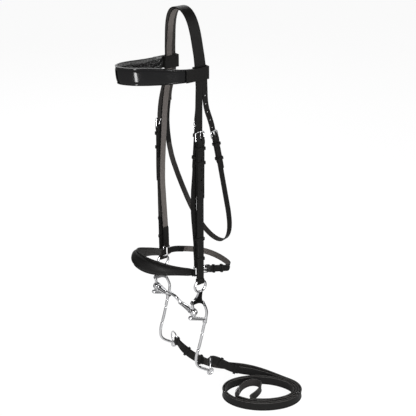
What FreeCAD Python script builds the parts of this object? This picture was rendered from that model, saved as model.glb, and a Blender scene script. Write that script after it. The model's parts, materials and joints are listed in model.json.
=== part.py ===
"""Bridle with a sliding-mouthpiece curb bit and a pair of reins.

Frame: millimetres, +Z up, -X to the horse's front, -Y to the horse's near (left) side.
The origin is the underside of the headpiece straps at the middle of the poll.
"""
import os
from math import atan2, cos, degrees, pi, radians, sin

import FreeCAD
import Part

os.makedirs("parts", exist_ok=True)
V = FreeCAD.Vector

# ---------------------------------------------------------------- driving dimensions
NEAR, FAR = -1, 1                    # sign of Y on each side

CROWN_WIDTH, CROWN_THICK = 24.0, 3.0
CHEEK_WIDTH, CHEEK_THICK = 16.0, 2.4
THROAT_WIDTH, THROAT_THICK = 11.5, 2.2
NOSE_WIDTH, NOSE_THICK = 13.0, 2.0   # cavesson head, cheek and rear straps
REIN_WIDTH, REIN_THICK = 19.0, 2.8

GAP = 0.3                            # air between neighbouring pieces
BILLET_GAP = 0.55                    # air between a billet and the buckle or strap under it
RAMP = 3.0                           # length over which a turned-back layer is skived away
LAP = 2.0                            # how far parts of one piece run into each other
BAR_FIT = 0.1                        # leather round a bar
PIN_FIT = 0.06                       # metal turning on metal, radial

HALF_WIDTH = 54.5                    # middle of the crown strap, below the browband
SPLIT_Z = -128.0                     # where the crown splits in cheek and throat billets
CHEEK_BAR = V(0.5, 60.5, -256.0)     # heel bar of the cheek buckle (y outwards)
CHEEK_LEAD = {NEAR: 0.0, FAR: -15.5}    # how far forward the middle of each cheek hangs
THROAT_BAR = V(38.5, 60.0, -257.0)
CAVESSON_BAR = V(3.0, 49.0, -232.0)
NOSE_RING = V(-7.0, 59.0, -550.0)    # middle of the noseband ring
BIT_RING = V(-8.0, 72.0, -581.0)     # middle of the bit's cheekpiece ring
FLOOR_Z = -832.0

# bit, measured from the middle of its ring (x backwards, z upwards)
RING_RADIUS, RING_WIRE = 13.6, 2.8
BAR_TOP, BAR_FOOT = V(-20.9, 0, -36.0), V(-15.9, 0, -70.0)
BAR_WAY = (BAR_FOOT - BAR_TOP).normalize()
BAR_RADIUS = 3.0
BALL_RADIUS = 9.0
MOUTH = BAR_TOP + BAR_WAY * 22.9     # mouthpiece axis where it crosses the slide bar
TOE_RADIUS = 5.0
BOSS = V(13.3, 0, -89.0)             # where the lower shank starts
EYE = V(27.0, 0, -228.0)
EYE_RADIUS, EYE_WIRE = 6.4, 2.6
SHANK_RADIUS = 3.3
PORT_HALF = 27.0
REIN_RING_RADIUS, REIN_RING_WIRE = 15.4, 1.6
REIN_RING_TURN = {NEAR: radians(36.0), FAR: radians(8.0)}   # turn of the rein rings out of the YZ plane

# rein coil
COIL_CENTRE = V(75.5, -187.5, 0)
COIL_HALF_LONG, COIL_HALF_SHORT = 87.5, 54.0
COIL_TURN = radians(-36.0)


# ---------------------------------------------------------------- helpers
def save(name, shape):
    """Write one node and complain about anything that isn't a closed valid solid."""
    solids = shape.Solids
    if not shape.isValid() or not solids:
        print("BAD SHAPE", name, shape.isValid(), len(solids))
    if len(solids) == 1:
        shape = solids[0]
    shape.exportStep("parts/%s.step" % name)
    print("%-26s solids %d  volume %9.1f" % (name, len(solids), shape.Volume))


def side(x, y, z, sign):
    """A point given with y outwards, put on one side of the horse."""
    return V(x, sign * y, z)


def on_side(point, sign):
    return V(point.x, sign * point.y, point.z)


def fuse(*shapes):
    """One solid of overlapping pieces."""
    result = shapes[0]
    for shape in shapes[1:]:
        result = result.fuse(shape)
    return result.removeSplitter()


class Seat:
    """A local frame: along = z, outward = y; x completes it (right-handed)."""

    def __init__(self, origin, along, outward):
        self.origin = origin
        self.z = V(along).normalize()
        x = V(outward).cross(self.z)
        self.x = x.normalize()
        self.y = self.z.cross(self.x)

    def point(self, x, y, z):
        return self.origin + self.x * x + self.y * y + self.z * z

    def put(self, shape):
        rotation = FreeCAD.Rotation(self.x, self.y, self.z, "ZXY")
        placed = shape.copy()
        placed.Placement = FreeCAD.Placement(self.origin, rotation).multiply(shape.Placement)
        return placed


def curve_through(points):
    curve = Part.BSplineCurve()
    curve.interpolate(points)
    return curve


def tangent_at(curve, u):
    """The unit tangent of a curve."""
    return V(curve.getD1(u)[1]).normalize()


def at_share(values, share):
    """A list of values, or one value, read at a share of the way along."""
    if not isinstance(values, (list, tuple)):
        return values
    place = share * (len(values) - 1)
    low = min(int(place), len(values) - 2)
    return values[low] + (values[low + 1] - values[low]) * (place - low)


def strap(points, width, thick, across, step=8.0, turned=(), inside=None, smooth=False):
    """A flat strap along a smooth line through the points.

    across is the direction of its width. width and thick may be lists, spread evenly over the
    length. turned holds stretches (from, to), in mm along the strap or back from its end, where a
    turned-back layer doubles it on the face that looks towards inside at the start.
    """
    curve = curve_through(points)
    length = curve.length()
    stretches = [(a % length if a < 0 else a, b % length if b < 0 else b) for a, b in turned]
    count = max(4, int(length / step) + 1)
    stations = {round(length * i / (count - 1.0), 3) for i in range(count)}
    for first, last in stretches:
        stations |= {round(s, 3) for s in (first, first + RAMP, last - RAMP, last) if 0 < s < length}
    stations = sorted(stations)
    crowded = {b for a, b in zip(stations, stations[1:]) if b - a < 0.4 and b != stations[-1]}
    sections = []
    hand = None
    for s in stations:
        if s in crowded:
            continue
        u = curve.parameterAtDistance(s, curve.FirstParameter)
        middle, tangent = curve.value(u), tangent_at(curve, u)
        wide = V(across) - tangent * tangent.dot(across)
        wide.normalize()
        normal = tangent.cross(wide)
        if hand is None:
            hand = 1 if inside is None or normal.dot(inside) > 0 else -1
        half = at_share(thick, s / length) / 2.0
        extra = max([doubling(s, length, stretch) for stretch in stretches] + [0.0]) * 2 * half
        inner, outer = normal * (hand * (half + extra)), normal * (-hand * half)
        side_step = wide * (at_share(width, s / length) / 2.0)
        corners = [middle + side_step + outer, middle - side_step + outer,
                   middle - side_step + inner, middle + side_step + inner]
        sections.append(Part.makePolygon(corners + corners[:1]))
    return Part.makeLoft(sections, True, not smooth)


def doubling(s, length, stretch):
    """How much of the turned-back layer there is at s: it is skived to nothing at a free end."""
    first, last = stretch
    rise = 1.0 if first <= 0 else (s - first) / RAMP
    fall = 1.0 if last >= length - 0.01 else (last - s) / RAMP
    return min(1.0, max(0.0, min(rise, fall)))


def pointed(shape, tip, along, wide, width, outward):
    """Cut the end of a strap to a blunt point."""
    for hand in (-1, 1):
        corner = V(tip) + wide * (hand * width * 0.22)
        flank = (along * 0.9 + wide * (hand * 0.75)).normalize()
        cutter = Part.makeBox(40, 40, 40, V(-20, -20, 0))
        seat = Seat(corner, flank, outward)
        shape = shape.cut(seat.put(cutter))
    return shape


def eye(seat, bar_radius, thick, width, slot=0.0):
    """The fold of a strap round a bar, in a seat on the bar: x along the bar, z towards the strap.

    slot lengthens the fold's hollow along z.
    """
    inner = bar_radius + BAR_FIT
    outer = inner + thick

    def stadium(radius):
        body = Part.makeCylinder(radius, width, V(-width / 2.0, 0, 0), V(1, 0, 0))
        if slot:
            far_end = Part.makeCylinder(radius, width, V(-width / 2.0, 0, slot), V(1, 0, 0))
            middle = Part.makeBox(width, 2 * radius, slot, V(-width / 2.0, -radius, 0))
            body = fuse(body, middle, far_end)
        return body

    return seat.put(stadium(outer).cut(stadium(inner)))


def rounded_frame(wide, tall, low_corner, high_corner, wire):
    """A closed frame of round wire in the XZ plane, its middle at the origin."""
    half = wide / 2.0
    low, high = -tall / 2.0, tall / 2.0
    pieces = []
    for height, corner in ((low, low_corner), (high, high_corner)):
        length = 2 * (half - corner)
        pieces.append(Part.makeCylinder(wire, length, V(-length / 2.0, 0, height), V(1, 0, 0)))
    for hand in (-1, 1):
        length = tall - low_corner - high_corner
        pieces.append(Part.makeCylinder(wire, length, V(hand * half, 0, low + low_corner), V(0, 0, 1)))
    quarters = ((1, 1, high_corner), (-1, 1, high_corner), (-1, -1, low_corner), (1, -1, low_corner))
    for quarter, (sx, sz, corner) in enumerate(quarters):
        bend = Part.makeTorus(corner, wire, V(0, 0, 0), V(0, 0, 1), -180, 180, 90)
        bend.rotate(V(0, 0, 0), V(1, 0, 0), 90)
        bend.rotate(V(0, 0, 0), V(0, 1, 0), -90 * quarter)
        bend.translate(V(sx * (half - corner), 0, sz * (tall / 2.0 - corner)))
        pieces.append(bend)
    return fuse(*pieces)


def keeper(seat, width, low, high, height=8.0, wall=1.4):
    """A loop round a stack of straps: width across, low..high through it, height along it."""
    outer = Part.makeBox(width + 2 * GAP + 2 * wall, high - low + 2 * GAP + 2 * wall, height,
                         V(-width / 2.0 - GAP - wall, low - GAP - wall, -height / 2.0))
    inner = Part.makeBox(width + 2 * GAP, high - low + 2 * GAP, height + 2,
                         V(-width / 2.0 - GAP, low - GAP, -height / 2.0 - 1))
    return seat.put(outer.cut(inner))


class Buckle:
    """A single-tongue buckle. Its seat lies on the heel bar: x along the bar, y outwards and
    z towards the tip bar. The strap that carries it leaves towards -z and the other strap's
    billet comes from +z under the tip bar, over the heel bar and on towards -z."""

    def __init__(self, seat, width, thick, bar, rise):
        self.seat, self.width, self.thick, self.bar, self.rise = seat, width, thick, bar, rise
        self.under = -(bar + BILLET_GAP + thick / 2.0)
        self.over_bar = bar + BAR_FIT + thick + BILLET_GAP + thick / 2.0
        self.over_strap = thick + BILLET_GAP + thick / 2.0
        self.tongue_wide = 2.6

    def frame(self):
        wide = self.width + 1.6 + 2 * self.bar
        body = rounded_frame(wide, self.rise, 2.0, 4.6, self.bar)
        body.translate(V(0, 0, self.rise / 2.0))
        return self.seat.put(body)

    def tongue(self):
        """A flat tongue that turns on the heel bar and rests on the tip bar."""
        wide = self.tongue_wide
        ring = Part.makeCylinder(self.bar + 1.3, wide, V(-wide / 2.0, 0, 0), V(1, 0, 0))
        lean = self.bar + 1.1
        start, rest = V(0, 0.9, 0), V(0, lean + 0.1, self.rise)
        direction = (rest - start).normalize()
        end = rest + direction * 2.6
        stem = Part.makeCylinder(1.0, (end - start).Length, start, direction)
        tip = Part.makeSphere(1.0, end)
        body = fuse(ring, stem, tip)
        hole = Part.makeCylinder(self.bar + PIN_FIT, wide + 2, V(-wide / 2.0 - 1, 0, 0), V(1, 0, 0))
        return self.seat.put(body.cut(hole))

    def fold(self):
        return eye(self.seat, self.bar, self.thick, self.width)

    def bar_room(self):
        """The hollow for the heel bar."""
        return self.seat.put(Part.makeCylinder(self.bar + BAR_FIT, 24, V(-12, 0, 0), V(1, 0, 0)))

    def fold_slot(self):
        """What the fold loses so that the tongue can turn."""
        wide = self.tongue_wide + 1.0
        reach = self.bar + self.thick + 2.0
        return self.seat.put(Part.makeBox(wide, 2 * reach, 2 * reach, V(-wide / 2.0, -reach, -3.2)))

    def billet_slot(self):
        """The long hole in the billet that the tongue goes through."""
        wide = self.tongue_wide + 0.8
        low, high = 1.5, self.rise - 1.5
        slot = Part.makeBox(wide, 14, high - low, V(-wide / 2.0, -7, low))
        return self.seat.put(slot)

    def billet_points(self, tail):
        """The billet's middle line, from above the tip bar to its end below the heel bar."""
        marks = [(self.under, self.rise + 5), (self.under, self.rise),
                 (self.over_bar, 0.0), (self.over_strap, -11.0)]
        marks += [(self.over_strap, -11.0 - (tail - 11.0) * i / 5.0) for i in range(1, 6)]
        return [self.seat.point(0, y, z) for y, z in marks]

    def loops(self, places, height=8.0):
        """Keepers round the doubled strap and the billet on it."""
        made = []
        for place in places:
            seat = Seat(self.seat.point(0, 0, -place), self.seat.z, self.seat.y)
            made.append(keeper(seat, self.width, -self.thick, self.over_strap + self.thick / 2.0 + GAP,
                               height))
        return Part.makeCompound(made)


# ---------------------------------------------------------------- headpiece
def arch(offset=0.0):
    """Half of the crown's line over the poll, outwards and down; offset runs inwards."""
    outline = [(0.0, 3.8), (14.0, 1.6), (28.0, -8.0), (39.0, -27.0), (47.0, -60.0),
               (52.6, -100.0), (HALF_WIDTH, SPLIT_Z)]
    mirrored = [V(0, -y, z) for y, z in reversed(outline[1:])]
    curve = curve_through(mirrored + [V(0, y, z) for y, z in outline])
    half = []
    for y, z in outline:
        u = curve.parameter(V(0, y, z))
        tangent = tangent_at(curve, u)
        inward = V(0, tangent.z, -tangent.y)
        half.append((y + inward.y * offset, z + inward.z * offset))
    return half


def crown_x(z):
    """The crown's middle moves backwards as it comes down."""
    return -0.072 * (z - 3.8)


def over_poll(offset):
    """Points over the poll from the near to the far side."""
    half = arch(offset)
    near = [side(crown_x(z), y, z, NEAR) for y, z in reversed(half[1:])]
    return near + [side(crown_x(z), y, z, FAR) for y, z in half]


def side_seat(point, sign, lean=0.0, cant=0.0):
    """A seat on one side: z up the strap, leaning forward by lean and inwards by cant."""
    along = V(-sin(lean), -sign * sin(cant), cos(lean))
    return Seat(on_side(point, sign), along, V(0, sign, 0))


def cheek_buckle(sign):
    bar = CHEEK_BAR + V(CHEEK_LEAD[sign], 0, 0)
    return Buckle(side_seat(bar, sign), CHEEK_WIDTH, CHEEK_THICK, 1.5, 19.0)


THROAT_LEAN = atan2(0.21, 1.0)


def throat_buckle():
    seat = side_seat(THROAT_BAR, NEAR, THROAT_LEAN)
    return Buckle(seat, THROAT_WIDTH, THROAT_THICK, 1.3, 15.0)


CAVESSON_LEAN = -0.07


def cavesson_buckle():
    return Buckle(side_seat(CAVESSON_BAR, NEAR, CAVESSON_LEAN), NOSE_WIDTH, NOSE_THICK, 1.3, 15.0)


def punch(shape, seat, places, radius=1.7):
    """A row of holes through a strap, seated on its face."""
    for place in places:
        drill = Part.makeCylinder(radius, 16, V(0, -8, place), V(0, 1, 0))
        shape = shape.cut(seat.put(drill))
    return shape


def crownpiece():
    """The headpiece: one strap over the poll, split in two billets on each side."""
    main = strap(over_poll(0.0), CROWN_WIDTH, CROWN_THICK, V(1, 0, 0), 7.0)
    pieces = [main]
    foot = crown_x(SPLIT_Z)
    for sign in (NEAR, FAR):
        buckle = cheek_buckle(sign)
        lead = CHEEK_LEAD[sign]
        start = [side(foot - 6.0, HALF_WIDTH, SPLIT_Z + 8, sign),
                 side(foot - 6.0 + lead * 0.03, HALF_WIDTH + 0.9, SPLIT_Z - 10, sign),
                 side(0.5 + lead * 0.7, 57.3, -195.0, sign),
                 side(0.5 + lead * 0.95, 57.5, -222.0, sign)]
        over_bar = buckle.billet_points(30.0)[:4]
        tail = between(cheek_line(sign, buckle.over_strap), -280.0, CHEEK_BILLET_END)
        billet = strap(start + over_bar + tail, CHEEK_WIDTH, CHEEK_THICK, V(1, 0, 0), 3.0)
        billet = billet.cut(buckle.billet_slot())
        billet = punch(billet, buckle.seat, (-40, -62, -84, -106))
        billet = pointed(billet, tail[-1], V(0, 0, -1), V(1, 0, 0), CHEEK_WIDTH, buckle.seat.y)
        pieces.append(billet)
    buckle = throat_buckle()
    start = [side(foot + 6.2, HALF_WIDTH, SPLIT_Z + 8, NEAR),
             side(foot + 7.2, HALF_WIDTH + 0.9, SPLIT_Z - 10, NEAR),
             side(19.5, 56.8, -190.0, NEAR)]
    tail = 74.0
    line = start + buckle.billet_points(tail)
    billet = strap(line, THROAT_WIDTH, THROAT_THICK, buckle.seat.x, 3.0)
    billet = billet.cut(buckle.billet_slot())
    for height in (-235.5, -218.0, -200.0, -182.5, -165.0):
        middle = between(line, height, height - 1.0)[0]
        billet = billet.cut(Part.makeCylinder(1.5, 16, middle - buckle.seat.y * 8, buckle.seat.y))
    tip = buckle.seat.point(0, buckle.over_strap, -tail)
    pieces.append(pointed(billet, tip, buckle.seat.z * -1, buckle.seat.x, THROAT_WIDTH, buckle.seat.y))
    short = [side(foot + 6.2, HALF_WIDTH, SPLIT_Z + 8, FAR),
             side(foot + 7.2, HALF_WIDTH + 0.9, SPLIT_Z - 10, FAR),
             side(11.5, 58.5, -170.0, FAR), side(9.5, 62.5, -205.0, FAR)]
    pieces.append(strap(short, THROAT_WIDTH, THROAT_THICK, V(1, 0, 0), 6.0))
    save("crownpiece", fuse(*pieces))


def browband():
    """A raised band, tall in front and narrower where the loops take it."""
    half = [(-9.5, 56.1, -118.0), (-30.0, 54.0, -117.6), (-62.0, 43.0, -116.2),
            (-104.0, 30.5, -112.0), (-138.0, 16.5, -108.6), (-149.0, 0.0, -107.6)]
    points = [side(x, y, z, NEAR) for x, y, z in half]
    points += [side(x, y, z, FAR) for x, y, z in reversed(half[:-1])]
    heights = [25.0, 28.0, 33.0, 35.0, 35.0, 35.0, 35.0, 35.0, 33.0, 28.0, 25.0]
    thicks = [3.6, 4.0, 5.0, 5.0, 5.0, 5.0, 5.0, 5.0, 5.0, 4.0, 3.6]
    save("browband", strap(points, heights, thicks, V(-0.1, 0, 1), 6.0, smooth=True))


def browband_loop(name, sign):
    """A leather loop round the crown, with the tab that is sewn to the band."""
    low, high, wall = -131.0, -105.0, 2.0
    front, back, inside, outside = -7.0, 25.0, 46.6, 60.2
    body = Part.makeBox(back - front, outside - inside, high - low, V(front, inside, low))
    hollow = Part.makeBox(back - front - 2 * wall, outside - inside - 2 * wall, high - low + 2,
                          V(front + wall, inside + wall, low - 1))
    tab = Part.makeBox(24.0, wall, high - low, V(front - 23.0, outside - wall, low))
    shape = fuse(body.cut(hollow), tab)
    edges = [e for e in shape.Edges if abs(e.tangentAt(e.FirstParameter).z) > 0.9
             and e.BoundBox.YMax > outside - 0.1 and e.BoundBox.XMax > back - 0.1]
    shape = shape.makeFillet(1.8, edges)
    if sign == NEAR:
        shape = shape.mirror(V(0, 0, 0), V(0, 1, 0))
    save(name, shape)


def cheek_line(sign, shift=0.0):
    """The cheekpiece from its buckle to the bit ring; shift moves it outwards."""
    marks = [(0.5, 60.5, -259.0, 1.0), (0.4, 60.5, -300.0, 1.0), (-0.2, 61.0, -340.0, 1.0),
             (-4.0, 66.2, -440.0, 0.46), (-7.2, 71.0, -535.0, 0.06), (-8.0, 72.0, -556.0, 0.0),
             (-8.0, 72.0, -563.0, 0.0)]
    return [side(x + CHEEK_LEAD[sign] * share, y + shift, z, sign) for x, y, z, share in marks]


def between(points, first, last):
    """The stretch of a smooth line between two heights, as a few points."""
    curve = curve_through(points)
    count = 6
    low, high = curve.FirstParameter, curve.LastParameter
    found = []
    for i in range(count):
        height = first + (last - first) * i / (count - 1.0)
        a, b = low, high
        for _ in range(40):
            middle = (a + b) / 2.0
            if curve.value(middle).z > height:
                a = middle
            else:
                b = middle
        found.append(curve.value((a + b) / 2.0))
    return found


CHEEK_BILLET_END = -384.0            # tip of the crown's cheek billets
CHEEK_TURN_BACK = 69.0               # length of the upper turned-back layer
CHEEK_TURN_UP = -100.0               # start of the lower one, back from the strap's end


def bit_eye_seat(sign):
    """The seat of the fold that holds the bit ring, in the ring's hole."""
    fold_floor = 10.1
    return side_seat(BIT_RING + V(0, 0, fold_floor), sign)


def cheekpiece(name, sign):
    """One long strap, folded round the buckle's heel bar above and the bit ring below."""
    buckle = cheek_buckle(sign)
    line = cheek_line(sign, CHEEK_THICK / 2.0)
    body = strap(line, CHEEK_WIDTH, CHEEK_THICK, V(1, 0, 0), 8.0,
                 [(0.0, CHEEK_TURN_BACK), (CHEEK_TURN_UP, curve_through(line).length())], V(0, -sign, 0))
    ring_fold = eye(bit_eye_seat(sign), RING_WIRE + 0.4 - BAR_FIT, CHEEK_THICK, 15.0, 4.4)
    shape = fuse(body, buckle.fold(), ring_fold).cut(buckle.fold_slot())
    hollow = Part.makeCylinder(RING_WIRE + 0.4, 20, V(-10, 0, 0), V(1, 0, 0))
    shape = shape.cut(Seat(bit_eye_seat(sign).point(0, 0, 4.4), V(0, 0, 1), V(0, sign, 0)).put(hollow))
    save(name, shape.cut(buckle.bar_room()))


def low_keeper_seat(sign, height):
    here, below = between(cheek_line(sign), height + 2, height - 2)[0::5]
    return Seat((here + below) * 0.5, here - below, V(0, sign, 0))


def cheek_fittings(tag, sign):
    """Keepers, buckle, tongue and the hook stud of one cheek."""
    buckle = cheek_buckle(sign)
    save("cheek_buckle_" + tag, buckle.frame())
    save("cheek_tongue_" + tag, buckle.tongue())
    save("cheek_keepers_" + tag, buckle.loops((16.0, 47.0), 7.0))
    loops = [keeper(low_keeper_seat(sign, z), CHEEK_WIDTH, -CHEEK_THICK, CHEEK_THICK, 7.0)
             for z in (-472.0, -517.0)]
    save("bit_keepers_" + tag, Part.makeCompound(loops))
    seat = low_keeper_seat(sign, -495.0)
    face = -CHEEK_THICK - 0.02
    plate = Part.makeBox(5.0, 1.0, 18.0, V(-2.5, face - 1.0, -9.0))
    post = Part.makeCylinder(1.3, 3.4, V(0, face - 0.5, 4.0), V(0, -1, 0))
    head = Part.makeSphere(2.6, V(0, face - 3.9, 4.0))
    save("bit_stud_" + tag, seat.put(fuse(plate, post, head)))


# ---------------------------------------------------------------- cavesson
def nose_ring_seat(sign, toward):
    """A seat on one bar of the noseband ring: 'top', 'front' or 'back'."""
    middle = on_side(NOSE_RING, sign)
    outward = V(0, sign, 0)
    places = {"top": (V(0, 0, NOSE_RING_TALL / 2.0), V(0, 0, 1)),
              "front": (V(-NOSE_RING_WIDE / 2.0, 0, -2.0), V(-1, 0, 0)),
              "back": (V(NOSE_RING_WIDE / 2.0, 0, -2.0), V(1, 0, 0))}
    move, along = places[toward]
    return Seat(middle + move, along, outward)


NOSE_RING_WIDE, NOSE_RING_TALL, NOSE_RING_WIRE = 15.0, 22.0, 1.8


def noseband_ring(name, sign):
    body = rounded_frame(NOSE_RING_WIDE, NOSE_RING_TALL, 2.0, 2.0, NOSE_RING_WIRE)
    body.translate(on_side(NOSE_RING, sign))
    save(name, body)


def ring_clearance(seat, width=30.0):
    """The room a ring's bar needs inside a fold."""
    radius = NOSE_RING_WIRE + BAR_FIT
    return seat.put(Part.makeCylinder(radius, width, V(-width / 2.0, 0, 0), V(1, 0, 0)))


def cavesson_headstrap():
    """From the far noseband ring over the poll, under the crown, to the near buckle."""
    buckle = cavesson_buckle()
    under_crown = over_poll(CROWN_THICK / 2.0 + GAP + NOSE_THICK / 2.0)
    middle = [V(p.x * 0.35, p.y, p.z) for p in under_crown]
    near = [side(5.0, 49.6, -185.0, NEAR)]
    near = list(reversed(buckle.billet_points(72.0))) + near
    far = [side(-6.0, 51.0, -190.0, FAR), side(-13.5, 50.6, -264.0, FAR),
           side(-17.5, 50.8, -330.0, FAR), side(-17.5, 52.5, -385.0, FAR),
           side(-13.0, 55.2, -440.0, FAR), side(-8.6, 58.4, -490.0, FAR),
           side(-7.0, 60.0, -524.0, FAR), side(-7.0, 60.0, -536.5, FAR)]
    line = near + middle + far
    body = strap(line, NOSE_WIDTH, NOSE_THICK, V(1, 0, 0), 4.0,
                 [(-46.0, curve_through(line).length())], V(0, 1, 0))
    body = body.cut(buckle.billet_slot())
    body = punch(body, buckle.seat, (-24, -36, -48), 1.4)
    tip = buckle.seat.point(0, buckle.over_strap, -72.0)
    body = pointed(body, tip, buckle.seat.z * -1, buckle.seat.x, NOSE_WIDTH, buckle.seat.y)
    seat = nose_ring_seat(FAR, "top")
    fold = eye(seat, NOSE_RING_WIRE, NOSE_THICK, 10.5)
    save("cavesson_headstrap", fuse(body, fold).cut(ring_clearance(seat)))


def cavesson_cheek():
    """The near cheek strap of the cavesson, from its buckle to the noseband ring."""
    buckle = cavesson_buckle()
    marks = [(2.8, 50.0, -235.0), (0.9, 50.0, -262.0), (-1.8, 50.0, -300.0), (-4.6, 50.2, -330.0),
             (-8.4, 51.2, -365.0), (-11.0, 53.6, -410.0), (-9.7, 56.4, -455.0),
             (-7.4, 58.7, -500.0), (-7.0, 60.0, -526.0), (-7.0, 60.0, -536.0)]
    line = [side(x, y, z, NEAR) for x, y, z in marks]
    body = strap(line, NOSE_WIDTH, NOSE_THICK, V(1, 0, 0), 8.0,
                 [(0.0, 84.0), (-46.0, curve_through(line).length())], V(0, 1, 0))
    seat = nose_ring_seat(NEAR, "top")
    fold = eye(seat, NOSE_RING_WIRE, NOSE_THICK, 10.5)
    shape = fuse(body, buckle.fold(), fold).cut(ring_clearance(seat)).cut(buckle.fold_slot())
    save("cavesson_cheek", shape.cut(buckle.bar_room()))
    save("cavesson_buckle", buckle.frame())
    save("cavesson_tongue", buckle.tongue())
    save("cavesson_keepers", buckle.loops((15.0, 62.0), 7.0))


def nose_bow(steps=12):
    """The padded front's line: a full bow that rises towards the front."""
    half_width, reach, fullness, rise = 59.0, 97.5, 2.5, 30.0
    points = []
    for i in range(steps + 1):
        t = pi * i / steps
        x = -19.0 - reach * sin(t) ** (2.0 / fullness)
        y = -half_width * (1 if cos(t) >= 0 else -1) * abs(cos(t)) ** (2.0 / fullness)
        z = NOSE_RING.z + 1.0 + rise * sin(t) ** 0.8
        points.append(V(x, y, z))
    return points


def noseband_front():
    """The padded nose strap, tall in the middle, folded round both rings."""
    line = nose_bow()
    ends = [V(-15.5, -59.0, NOSE_RING.z - 2.0), V(-15.5, 59.0, NOSE_RING.z - 2.0)]
    points = [ends[0]] + line[1:-1] + [ends[1]]
    heights = [13.5, 18.0, 22.0, 29.0, 33.0, 34.0, 33.0, 29.0, 22.0, 18.0, 13.5]
    thicks = [4.0, 5.0, 8.0, 10.0, 11.0, 11.0, 11.0, 10.0, 8.0, 5.0, 4.0]
    shape = strap(points, heights, thicks, V(0.28, 0, 1), 6.0, smooth=True)
    for sign in (NEAR, FAR):
        seat = nose_ring_seat(sign, "front")
        shape = fuse(shape, eye(seat, NOSE_RING_WIRE, NOSE_THICK, 13.5))
        shape = shape.cut(ring_clearance(seat))
    save("noseband_front", shape)


REAR_BAR = V(23.5, 59.5, -554.0)     # heel bar of the noseband buckle
REAR_AIM = V(62.0, 58.4, -564.5)     # where the straight, doubled part ends


def rear_buckle():
    heel, aim = on_side(REAR_BAR, NEAR), on_side(REAR_AIM, NEAR)
    return Buckle(Seat(heel, heel - aim, V(0, NEAR, 0)), NOSE_WIDTH, NOSE_THICK, 1.3, 15.0)


def noseband_rear():
    """The long rear strap with its buckle, and the near billet that does it up."""
    buckle = rear_buckle()
    seat = buckle.seat
    half = NOSE_THICK / 2.0
    up = seat.x if seat.x.z > 0 else seat.x * -1
    straight = [seat.point(0, half, -z) for z in (2.6, 14.0, 28.0, 41.0)]
    bend = [V(74.0, -56.0, -568.3), V(88.0, -48.0, -572.5), V(101.0, -22.0, -577.5),
            V(102.5, 6.0, -578.0), V(94.0, 33.0, -575.0), V(70.0, 51.5, -567.5),
            V(40.0, 58.6, -559.5), V(14.0, 60.2, -553.0), V(3.0, 60.0, -552.0)]
    line = straight + bend
    body = strap(line, NOSE_WIDTH, NOSE_THICK, up, 7.0,
                 [(0.0, 38.0), (-38.0, curve_through(line).length())], V(0, 1, 0))
    far_seat = nose_ring_seat(FAR, "back")
    far_fold = eye(far_seat, NOSE_RING_WIRE, NOSE_THICK, 13.0)
    shape = fuse(body, buckle.fold(), far_fold).cut(ring_clearance(far_seat)).cut(buckle.fold_slot())
    save("noseband_rear", shape.cut(buckle.bar_room()))

    near_seat = nose_ring_seat(NEAR, "back")
    points = [V(3.2, -58.6, -551.9), V(6.2, -57.6, -551.3)]
    points += [seat.point(0, buckle.under, buckle.rise)]
    points += buckle.billet_points(57.0)[2:]
    billet = strap(points, NOSE_WIDTH, NOSE_THICK, up, 4.0)
    billet = billet.cut(buckle.billet_slot())
    billet = punch(billet, seat, (-32,), 1.4)
    tip = seat.point(0, buckle.over_strap, -57.0)
    billet = pointed(billet, tip, seat.z * -1, seat.x, NOSE_WIDTH, seat.y)
    near_fold = eye(near_seat, NOSE_RING_WIRE, NOSE_THICK, 13.0)
    save("noseband_billet", fuse(billet, near_fold).cut(ring_clearance(near_seat)))
    save("noseband_buckle", buckle.frame())
    save("noseband_tongue", buckle.tongue())
    save("noseband_keepers", buckle.loops((12.5, 35.0), 6.0))


# ---------------------------------------------------------------- throatlatch
def throatlatch():
    """The throat strap: near buckle, down under the throat and up to the far throat billet."""
    buckle = throat_buckle()
    seat = buckle.seat
    half = THROAT_THICK / 2.0
    doubled = [seat.point(0, half, -z) for z in (3.0, 28.0, 60.0)]
    loop = [V(62.0, -63.0, -375.0), V(72.0, -63.5, -430.0), V(80.0, -56.0, -482.0), V(84.0, -32.0, -513.0),
            V(84.5, 4.0, -521.0), V(80.0, 38.0, -507.0), V(62.0, 62.0, -458.0), V(40.0, 73.0, -392.0),
            V(24.0, 76.5, -340.0), V(13.0, 74.5, -285.0), V(8.8, 70.3, -240.0), V(9.7, 65.8, -205.0),
            V(11.7, 61.8, -172.0), V(12.6, 60.4, -160.0)]
    body = strap(doubled + loop, THROAT_WIDTH, THROAT_THICK, V(0.95, 0, 0.22), 8.0,
                 [(0.0, 56.0)], V(0, 1, 0))
    shape = fuse(body, buckle.fold()).cut(buckle.fold_slot())
    save("throatlatch", shape.cut(buckle.bar_room()))
    save("throat_buckle", buckle.frame())
    save("throat_tongue", buckle.tongue())
    save("throat_keepers", buckle.loops((14.0, 48.0), 6.5))


# ---------------------------------------------------------------- bit
def at_bit(x, z, sign):
    return V(BIT_RING.x + x, sign * BIT_RING.y, BIT_RING.z + z)


def rod(points, radius):
    """A round bar along a smooth line."""
    curve = curve_through(points)
    path = Part.Wire([curve.toShape()])
    start = curve.value(curve.FirstParameter)
    circle = Part.Wire([Part.makeCircle(radius, start, tangent_at(curve, curve.FirstParameter))])
    return path.makePipeShell([circle], True, True)


def cone_between(first, last, radius_first, radius_last):
    direction = last - first
    return Part.makeCone(radius_first, radius_last, direction.Length, first, direction)


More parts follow.
